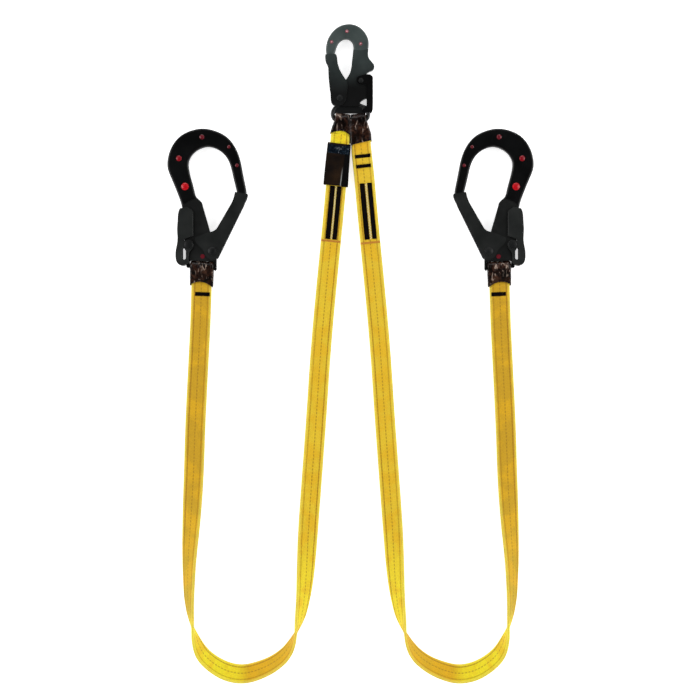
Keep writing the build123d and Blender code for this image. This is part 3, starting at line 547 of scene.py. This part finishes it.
def cloth_black():
    # black coated fabric with a brown cast on the flat of the pocket
    m, nt, bsdf = new_material("label_coated_cloth")
    co = node(nt, "ShaderNodeTexCoord")
    n1 = node(nt, "ShaderNodeTexNoise")
    setv(n1, Scale=34.0, Detail=3.0)
    nt.links.new(co.outputs["Object"], n1.inputs["Vector"])
    w = node(nt, "ShaderNodeTexWave", wave_type="BANDS", bands_direction="Y")
    setv(w, Scale=480.0, Distortion=0.6)
    nt.links.new(co.outputs["Object"], w.inputs["Vector"])
    w2 = node(nt, "ShaderNodeTexWave", wave_type="BANDS", bands_direction="X")
    setv(w2, Scale=480.0, Distortion=0.6)
    nt.links.new(co.outputs["Object"], w2.inputs["Vector"])
    nt.links.new(ramp(nt, n1.outputs["Fac"], [(0.32, (0.0030, 0.0018, 0.0015)), (0.50, (0.0120, 0.0060, 0.0028)), (0.70, (0.0220, 0.0110, 0.0045))]), bsdf.inputs["Base Color"])
    bsdf.inputs["Roughness"].default_value = 0.34
    bsdf.inputs["Specular IOR Level"].default_value = 0.16
    sep = node(nt, "ShaderNodeSeparateXYZ")
    nt.links.new(co.outputs["Object"], sep.inputs[0])
    side = math_node(nt, "ADD", math_node(nt, "MULTIPLY_ADD", sep.outputs[1], -0.1276, sep.outputs[0]), 0.00955)
    flap = blend_range(nt, side, -0.0006, 0.0006)
    pocket = next(l.from_socket for l in nt.links if l.to_socket == bsdf.inputs["Base Color"])
    c = mix_color(nt, flap, pocket, (0.0012, 0.0010, 0.0011))
    # painted highlight: a pale streak along the lower part of the flap's fold line
    painted_fold_glint = math_node(nt, "MULTIPLY", pulse(nt, side, -0.0009, 0.0009), blend_range(nt, sep.outputs[1], -0.010, -0.026))
    nt.links.new(mix_color(nt, math_node(nt, "MULTIPLY", painted_fold_glint, 0.7), c, (0.33, 0.34, 0.33)), bsdf.inputs["Base Color"])
    n2 = node(nt, "ShaderNodeTexNoise")
    setv(n2, Scale=90.0, Detail=3.0, Distortion=0.8)
    nt.links.new(co.outputs["Object"], n2.inputs["Vector"])
    h = math_node(nt, "ADD", w.outputs["Fac"], w2.outputs["Fac"])
    nrm = bump(nt, h, 0.2, 0.0001)
    nt.links.new(bump(nt, n2.outputs["Fac"], 0.4, 0.0012, nrm), bsdf.inputs["Normal"])
    return m


def window_film():
    # clear film over the dark blue head of the card, with pale specks painted on as reflections
    m, nt, bsdf = new_material("label_window_film")
    co = node(nt, "ShaderNodeTexCoord")
    n1 = node(nt, "ShaderNodeTexNoise")
    setv(n1, Scale=210.0, Detail=4.0, Distortion=0.8)
    nt.links.new(co.outputs["Object"], n1.inputs["Vector"])
    # painted reflection: the palest stop makes the glossy specks
    nt.links.new(ramp(nt, n1.outputs["Fac"], [(0.42, (0.0015, 0.003, 0.006)), (0.60, (0.006, 0.012, 0.019)), (0.74, (0.11, 0.12, 0.125))]), bsdf.inputs["Base Color"])
    bsdf.inputs["Roughness"].default_value = 0.14
    bsdf.inputs["Specular IOR Level"].default_value = 0.35
    nt.links.new(bump(nt, n1.outputs["Fac"], 0.5, 0.0016), bsdf.inputs["Normal"])
    return m


def stud_material():
    # moulded red studs, the big one brighter than the small ones
    m, nt, bsdf = new_material("stud_red")
    co = node(nt, "ShaderNodeTexCoord")
    n1 = node(nt, "ShaderNodeTexNoise")
    setv(n1, Scale=300.0, Detail=2.0)
    nt.links.new(co.outputs["Object"], n1.inputs["Vector"])
    sep = node(nt, "ShaderNodeSeparateXYZ")
    nt.links.new(co.outputs["Object"], sep.inputs[0])
    dx = math_node(nt, "SUBTRACT", math_node(nt, "ABSOLUTE", sep.outputs[0]), 0.2491)
    dy = math_node(nt, "ADD", sep.outputs[1], 0.0410)
    far = blend_range(nt, math_node(nt, "SQRT", math_node(nt, "ADD", math_node(nt, "MULTIPLY", dx, dx), math_node(nt, "MULTIPLY", dy, dy))), 0.010, 0.075)
    red = ramp(nt, far, [(0.0, (0.42, 0.003, 0.008)), (0.6, (0.18, 0.005, 0.011)), (1.0, (0.11, 0.008, 0.014))])
    tint = ramp(nt, n1.outputs["Fac"], [(0.3, (0.80, 0.80, 0.80)), (0.7, (1.0, 1.0, 1.0))])
    nt.links.new(mix_color(nt, 1.0, red, tint, "MULTIPLY"), bsdf.inputs["Base Color"])
    bsdf.inputs["Roughness"].default_value = 0.25
    bsdf.inputs["Specular IOR Level"].default_value = 0.35
    return m


def small_stud_material():
    # the snap hook's small studs: dark red rims, with a pale pink highlight painted on the crown
    m, nt, bsdf = new_material("stud_red_small")
    co = node(nt, "ShaderNodeTexCoord")
    n1 = node(nt, "ShaderNodeTexNoise")
    setv(n1, Scale=500.0, Detail=2.0)
    nt.links.new(co.outputs["Object"], n1.inputs["Vector"])
    geo = node(nt, "ShaderNodeTexCoord")
    sep = node(nt, "ShaderNodeSeparateXYZ")
    nt.links.new(geo.outputs["Normal"], sep.inputs[0])
    # painted highlight: pale pink where the dome's normal points straight up or down
    crown = blend_range(nt, math_node(nt, "ABSOLUTE", sep.outputs[2]), 0.955, 0.995)
    base = ramp(nt, n1.outputs["Fac"], [(0.3, (0.12, 0.012, 0.020)), (0.7, (0.18, 0.018, 0.028))])
    nt.links.new(mix_color(nt, math_node(nt, "MULTIPLY", crown, 0.75), base, (0.62, 0.36, 0.40)), bsdf.inputs["Base Color"])
    bsdf.inputs["Roughness"].default_value = 0.3
    bsdf.inputs["Specular IOR Level"].default_value = 0.3
    return m


def wire_material():
    m, nt, bsdf = new_material("spring_wire")
    co = node(nt, "ShaderNodeTexCoord")
    n1 = node(nt, "ShaderNodeTexNoise")
    setv(n1, Scale=700.0, Detail=2.0)
    nt.links.new(co.outputs["Object"], n1.inputs["Vector"])
    nt.links.new(ramp(nt, n1.outputs["Fac"], [(0.3, (0.42, 0.42, 0.43)), (0.7, (0.60, 0.60, 0.61))]), bsdf.inputs["Base Color"])
    bsdf.inputs["Metallic"].default_value = 1.0
    bsdf.inputs["Roughness"].default_value = 0.35
    return m


# the two legs' copies of one webbing differ only in the painted light and shade near the snap end: lemon on the left
# leg, amber on the right
M_WEB = {"left": webbing_material("webbing_yellow_left", [(0.018, (0.95, 0.84, 0.016)), (0.055, (0.80, 0.57, 0.026))]),
         "right": webbing_material("webbing_yellow_right", [(0.026, (0.82, 0.47, 0.010)), (0.040, (0.78, 0.54, 0.026))])}
M_FORGE = coated_metal("forging_black", (0.0008, 0.0008, 0.0009), (0.0016, 0.0016, 0.0018), 0.30, spec=0.22)
M_SNAP = coated_metal("snap_forging", (0.0300, 0.0400, 0.0385), (0.0480, 0.0610, 0.0590), 0.36, spec=0.35, fade=(0.085, 0.150, (0.0020, 0.0024, 0.0024)))
M_SNAP_PLATE = coated_metal("snap_plate", (0.0170, 0.0230, 0.0225), (0.0300, 0.0390, 0.0380), 0.42, spec=0.20, fade=(0.108, 0.150, (0.0008, 0.0009, 0.0009)))
M_SNAP_GATE = coated_metal("snap_gate_finish", (0.0140, 0.0190, 0.0185), (0.0260, 0.0340, 0.0330), 0.42, spec=0.22, fade=(0.100, 0.140, (0.0016, 0.0018, 0.0018)))
M_SNAP_LEVER = coated_metal("snap_lever_finish", (0.0006, 0.0006, 0.0007), (0.0016, 0.0016, 0.0017), 0.44, spec=0.08)
M_PLATE = coated_metal("plate_charcoal", (0.0026, 0.0029, 0.0028), (0.0062, 0.0068, 0.0064), 0.44, spec=0.20)
M_LEVER = coated_metal("lever_charcoal", (0.0055, 0.0066, 0.0062), (0.0115, 0.0128, 0.0122), 0.42, spec=0.28)
M_GATE = coated_metal("gate_charcoal", (0.0038, 0.0046, 0.0043), (0.0085, 0.0094, 0.0090), 0.42, spec=0.26)
M_RIVET = coated_metal("rivet_charcoal", (0.0040, 0.0044, 0.0044), (0.0100, 0.0110, 0.0110), 0.36, spec=0.2)
M_BLACK = thread_material("thread_black", (0.0006, 0.0003, 0.0003), (0.0045, 0.0026, 0.0022), 0.02)
M_ORANGE = thread_material("thread_orange", (0.33, 0.12, 0.010), (0.55, 0.24, 0.03), 0.2)
M_PALE = thread_material("thread_pale", (0.55, 0.42, 0.11), (0.86, 0.76, 0.42), 0.2)
M_SLEEVE = sleeve_material()
M_CLOTH = cloth_black()
M_STUD = stud_material()
M_STUD_SMALL = small_stud_material()
M_WIRE = wire_material()
M_CARD = coated_metal("label_card_film", (0.020, 0.024, 0.032), (0.045, 0.052, 0.066), 0.30)
M_FILM = window_film()
M_CORE = thread_material("absorber_strip", (0.55, 0.52, 0.46), (0.75, 0.72, 0.66), 0.2)


def dress(names, mat):
    for nm in names:
        ob = NODES[nm]
        ob.data.materials.clear()
        ob.data.materials.append(mat)


for p in ("left", "right", "snap"):
    dress([p+"_hook_body"], M_SNAP if p == "snap" else M_FORGE)
    dress([p+"_hook_frame_plates"], M_SNAP_PLATE if p == "snap" else M_PLATE)
    dress([p+"_hook_gate"], M_SNAP_GATE if p == "snap" else M_GATE)
    dress([p+"_hook_lock_lever"], M_SNAP_LEVER if p == "snap" else M_LEVER)
    dress([p+"_hook_gate_rivet", p+"_hook_lever_rivet"], M_RIVET)
    dress([p+"_hook_gate_spring", p+"_hook_lever_spring"], M_WIRE)
    dress([p+"_hook_studs"], M_STUD_SMALL if p == "snap" else M_STUD)
dress(["label_cover"], M_CLOTH)
dress(["label_card"], M_CARD)
dress(["label_window"], M_FILM)
dress(["left_absorber_core", "right_absorber_core"], M_CORE)

# ------------------------------------------------------------------ webbing legs
for side in ("left", "right"):
    R = side == "right"
    ob, path = leg(side+"_strap", R)
    ob.data.materials.append(M_WEB[side])
    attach(ob, "webbing")
    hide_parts(side+"_leg_webbing")
    f1 = fold(side+"_strap_fold_snap", "snap", R, widths)
    f2 = fold(side+"_strap_fold_hook", "hook", R, lambda u: (0.0152, 0.0152))
    for f in (f1, f2):
        f.data.materials.append(M_WEB[side])
        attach(f, "webbing")


# ------------------------------------------------------------------ sewn bars
def strip(name, s0, s1, a0, a1, right, mat, nodes, along=True, pitch=0.0012, height=0.0006, jag=0.0005, base=0.00225, both=True):
    # raised satin stitching: ridges across the bar, with toothed edges
    verts, faces = [], []

    def add(side):
        start = len(verts)
        step = pitch/2
        n_rows = max(2, int(round(((s1-s0) if along else (a1-a0))/step)))
        fs = (0.0, 0.02, 0.10, 0.28, 0.5, 0.72, 0.90, 0.98, 1.0)
        cols = len(fs)-1
        for i in range(n_rows+1):
            k = i/n_rows
            tooth = jag if i % 2 else -jag
            tooth += random.uniform(-0.3, 0.3)*jag
            ridge = 1.0 if i % 2 else 0.62
            for j in range(cols+1):
                f = fs[j]
                if along:
                    s = s0+(s1-s0)*k
                    a = (a0-tooth)+(a1-a0+2*tooth)*f
                else:
                    a = a0+(a1-a0)*k
                    s = (s0-tooth)+(s1-s0+2*tooth)*f
                p, t, w, n = at(s)
                prof = max(0.0, 1-abs(2*f-1)**4.0)
                b = base+0.00015+height*ridge*prof**0.5 if 0 < j < cols else base-0.0004
                verts.append(p+w*a+n*(b*side))
        for i in range(n_rows):
            for j in range(cols):
                q = (start+i*(cols+1)+j, start+i*(cols+1)+j+1, start+(i+1)*(cols+1)+j+1, start+(i+1)*(cols+1)+j)
                faces.append(q if (side > 0) == along else tuple(reversed(q)))
    add(1)
    if both:
        add(-1)
    ob = mesh_object(name, verts, faces, right, smooth=False)
    ob.data.materials.append(mat)
    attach(ob, "webbing")
    if nodes:
        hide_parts(*nodes)
    return ob


strip("left_bar_inner", 0.1004, 0.1805, 0.0012, 0.0089, False, M_BLACK, ["left_leg_stitching"])
strip("left_bar_outer", 0.1004, 0.1805, -0.0088, -0.0016, False, M_BLACK, [])
strip("right_bar_inner", 0.096, 0.1805, -0.0080, -0.0004, True, M_BLACK, ["right_leg_stitching"])
strip("right_bar_outer", 0.096, 0.1805, 0.0036, 0.0104, True, M_BLACK, [])
strip("right_tack_upper", 0.0526, 0.0579, -0.0106, 0.0126, True, M_BLACK, [], along=False)
strip("right_tack_lower", 0.0676, 0.0729, -0.0106, 0.0118, True, M_BLACK, [], along=False)


def zigzag(name, s0, s1, a0, a1, right, mat, pitch=0.0040, wire=0.00062, base=0.0024):
    # a lockstitch zigzag laid between two sewn bars, on both faces
    verts, faces = [], []
    for side in (1, -1):
        pts = []
        n_turn = int((s1-s0)/(pitch/2))
        for i in range(n_turn+1):
            s = s0+(s1-s0)*i/n_turn
            p, t, w, n = at(s)
            a = a0 if i % 2 else a1
            pts.append((p+w*a+n*(base*side), n*side, t))
        for (p, n, t), (q, n2, t2) in zip(pts, pts[1:]):
            d = (q-p).normalized()
            c = n.cross(d).normalized()*wire
            up = n*wire*1.2
            k = len(verts)
            for base_p in (p, q):
                verts += [base_p-c, base_p-c*0.5+up, base_p+c*0.5+up, base_p+c]
            faces += [(k, k+1, k+5, k+4), (k+1, k+2, k+6, k+5), (k+2, k+3, k+7, k+6)]
    ob = mesh_object(name, verts, faces, right, smooth=False)
    ob.data.materials.append(mat)
    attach(ob, "webbing")
    return ob


zigzag("left_zigzag", 0.1006, 0.1800, -0.0012, 0.0008, False, M_PALE)
zigzag("right_zigzag", 0.0970, 0.1800, 0.0002, 0.0031, True, M_PALE)
strip("left_tack_orange", 0.1815, 0.1845, -0.0146, 0.0146, False, M_ORANGE, ["left_end_tack"], along=False, pitch=0.0022, height=0.0005)
strip("right_tack_orange", 0.1840, 0.1870, -0.0146, 0.0146, True, M_ORANGE, ["right_end_tack"], along=False, pitch=0.0022, height=0.0005)
for side in ("left", "right"):
    strip(side+"_tack_hook", LEN-0.0440, LEN-0.0380, -0.0091, 0.0129, side == "right", M_BLACK, [side+"_hook_tack"], along=False)


# ------------------------------------------------------------------ wear sleeves
def sleeve(name, which, right, plan, end_of, nodes, radius, lip, seed):
    # thin film folded over the strap and the bar, its edges turned over the strap's sides
    p, t, h, n = end_axes(which)
    verts, faces = [], []
    cols = 30
    joint_u, joint_v = 0.024, 0.0031
    th = math.atan2(joint_v, joint_u)+math.acos(radius/math.hypot(joint_u, joint_v))
    x1, y1 = radius*math.cos(th), radius*math.sin(th)

    def height(u):
        return joint_v if u >= joint_u else joint_v+(y1-joint_v)*(joint_u-u)/(joint_u-x1)

    rows = [("top", i/22) for i in range(22)]
    rows += [("mid", th+(2*math.pi-2*th)*i/26) for i in range(27)]
    rows += [("bot", (i+1)/22) for i in range(22)]
    for kind, val in rows:
        ring = []
        for j in range(cols+1):
            f = -1+2*j/cols
            if kind == "mid":
                u, v = radius*math.cos(val), radius*math.sin(val)
            else:
                u_end = end_of(f, kind == "top")
                u = u_end+(x1-u_end)*val if kind == "top" else x1+(u_end-x1)*val
                v = height(u) if kind == "top" else -height(u)
            wi, wo = plan(max(0.0, u))
            if u < 0 and which == "snap":
                wi -= 0.0013*min(1.0, -u/0.009)
            half = wo if f > 0 else wi
            a = half*f
            g = abs(f)
            curl = 0.0
            if g > 0.90:
                curl = lip*((g-0.90)/0.10)**1.6
                a = half*(0.955+0.045*math.sin((g-0.90)/0.10*math.pi/2))*(1 if f > 0 else -1) if g > 0.93 else a
            # creases run mostly along the strap
            q = Vector((a*230+seed, u*70, seed*1.7+(1 if v > 0 else 0)))
            crease = 0.00055*noise.noise(q)+0.00028*noise.noise(q*2.3)
            d = Vector((u, v)).normalized() if u < x1+1e-6 else Vector((0, 1 if v > 0 else -1))
            out = crease*max(0.0, 1-g**6)-curl+0.0009*max(0.0, -u/radius)**2
            ring.append(p+t*(u+d.x*out)+n*(v+d.y*out)+h*a)
        verts += ring
    w = cols+1
    for i in range(len(rows)-1):
        for j in range(cols):
            faces.append((i*w+j, i*w+j+1, (i+1)*w+j+1, (i+1)*w+j))
    if which == "hook":
        faces = [tuple(reversed(f)) for f in faces]
    ob = mesh_object(name, verts, faces, right)
    so = ob.modifiers.new("film", "SOLIDIFY")
    so.thickness = 0.0005
    so.offset = -1
    ob.data.materials.append(M_SLEEVE)
    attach(ob, "webbing")
    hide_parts(*nodes)
    return ob


def snap_plan(u):
    wi, wo = widths(u)
    return wi+0.0010, wo+0.0010+0.0018*max(0.0, 1-abs(u)/0.010)


def hook_plan(u):
    return 0.0171, 0.0171


for side in ("left", "right"):
    R = side == "right"
    sleeve(side+"_sleeve_hook", "hook", R, hook_plan, lambda f, top: 0.0224+0.0066*f*f+0.0020*f if top else 0.029, [side+"_hook_sleeve"], 0.0067, 0.0020, 3.0 if R else 11.0)
sleeve("left_sleeve_snap", "snap", False, snap_plan, lambda f, top: 0.0176+0.0056*f*f if top else 0.0235, ["snap_sleeve_left"], 0.0073, 0.0018, 21.0)
sleeve("right_sleeve_snap", "snap", True, snap_plan, lambda f, top: 0.0353-0.0018*f if top else 0.0355, ["snap_sleeve_right"], 0.0073, 0.0018, 31.0)

# the two films are welded along the middle, under their edges
verts, faces = [], []
for i in range(13):
    k = i/12
    y = 0.0555-0.0305*k
    z = SEAM_Z0+(SEAM_Z1-SEAM_Z0)*k
    sag = 0.0003*noise.noise(Vector((y*400, 2.0, 0.0)))
    for x in (-0.0017, -0.0006, 0.0006, 0.0017):
        verts.append((x, y, z+sag-(0.0003 if abs(x) < 0.001 else 0.0)))
    if i:
        for j in range(3):
            q = (i-1)*4+j
            faces.append((q, q+4, q+5, q+1))
seam = mesh_object("sleeve_seam", verts, faces)
so = seam.modifiers.new("film", "SOLIDIFY")
so.thickness = 0.0006
seam.data.materials.append(M_SLEEVE)
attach(seam, "webbing")

# ------------------------------------------------------------------ stage and light
floor = bpy.data.meshes.new("floor")
F = 6.0
floor.from_pydata([(-F, -F, 0), (F, -F, 0), (F, F, 0), (-F, F, 0)], [], [(0, 1, 2, 3)])
floor_ob = bpy.data.objects.new("floor", floor)
floor_ob.location = (0, 0, -0.0003)
bpy.context.collection.objects.link(floor_ob)
mf, ntf, bf = new_material("floor_pale")
cof = node(ntf, "ShaderNodeTexCoord")
nf = node(ntf, "ShaderNodeTexNoise")
setv(nf, Scale=3.0, Detail=1.0)
ntf.links.new(cof.outputs["Object"], nf.inputs["Vector"])
ntf.links.new(ramp(ntf, nf.outputs["Fac"], [(0.3, (0.90, 0.90, 0.90)), (0.7, (0.915, 0.915, 0.915))]), bf.inputs["Base Color"])
bf.inputs["Roughness"].default_value = 0.9
bf.inputs["Specular IOR Level"].default_value = 0.1
bf.inputs["Emission Color"].default_value = (1, 1, 1, 1)
bf.inputs["Emission Strength"].default_value = 0.62
floor.materials.append(mf)


def area(name, loc, size, power, target):
    d = bpy.data.lights.new(name, "AREA")
    d.shape = "RECTANGLE"
    d.size, d.size_y = size
    d.energy = power
    o = bpy.data.objects.new(name, d)
    o.location = loc
    o.rotation_euler = (Vector(target)-Vector(loc)).to_track_quat("-Z", "Y").to_euler()
    bpy.context.collection.objects.link(o)
    return o


area("left", (-2.1, 0.1, 1.15), (1.4, 2.6), 47, (0, -0.3, 0))
area("right", (2.1, 0.1, 1.15), (1.4, 2.6), 47, (0, -0.3, 0))
area("back", (0.0, 1.9, 1.5), (2.4, 0.9), 25, (0, -0.25, 0))
area("front", (0.0, -2.4, 1.2), (2.6, 0.9), 24, (0, -0.3, 0))
world = bpy.data.worlds.new("world")
bpy.context.scene.world = world
world.use_nodes = True
wt = world.node_tree
wco = wt.nodes.new("ShaderNodeTexCoord")
wsep = wt.nodes.new("ShaderNodeSeparateXYZ")
wt.links.new(wco.outputs["Generated"], wsep.inputs[0])
wt.links.new(ramp(wt, wsep.outputs[2], [(0.0, (0.85, 0.85, 0.85)), (0.55, (0.60, 0.60, 0.60)), (0.85, (0.10, 0.10, 0.10)), (1.0, (0.02, 0.02, 0.02))]), wt.nodes["Background"].inputs["Color"])
wt.nodes["Background"].inputs["Strength"].default_value = 0.70
bpy.context.scene.view_settings.view_transform = "Standard"
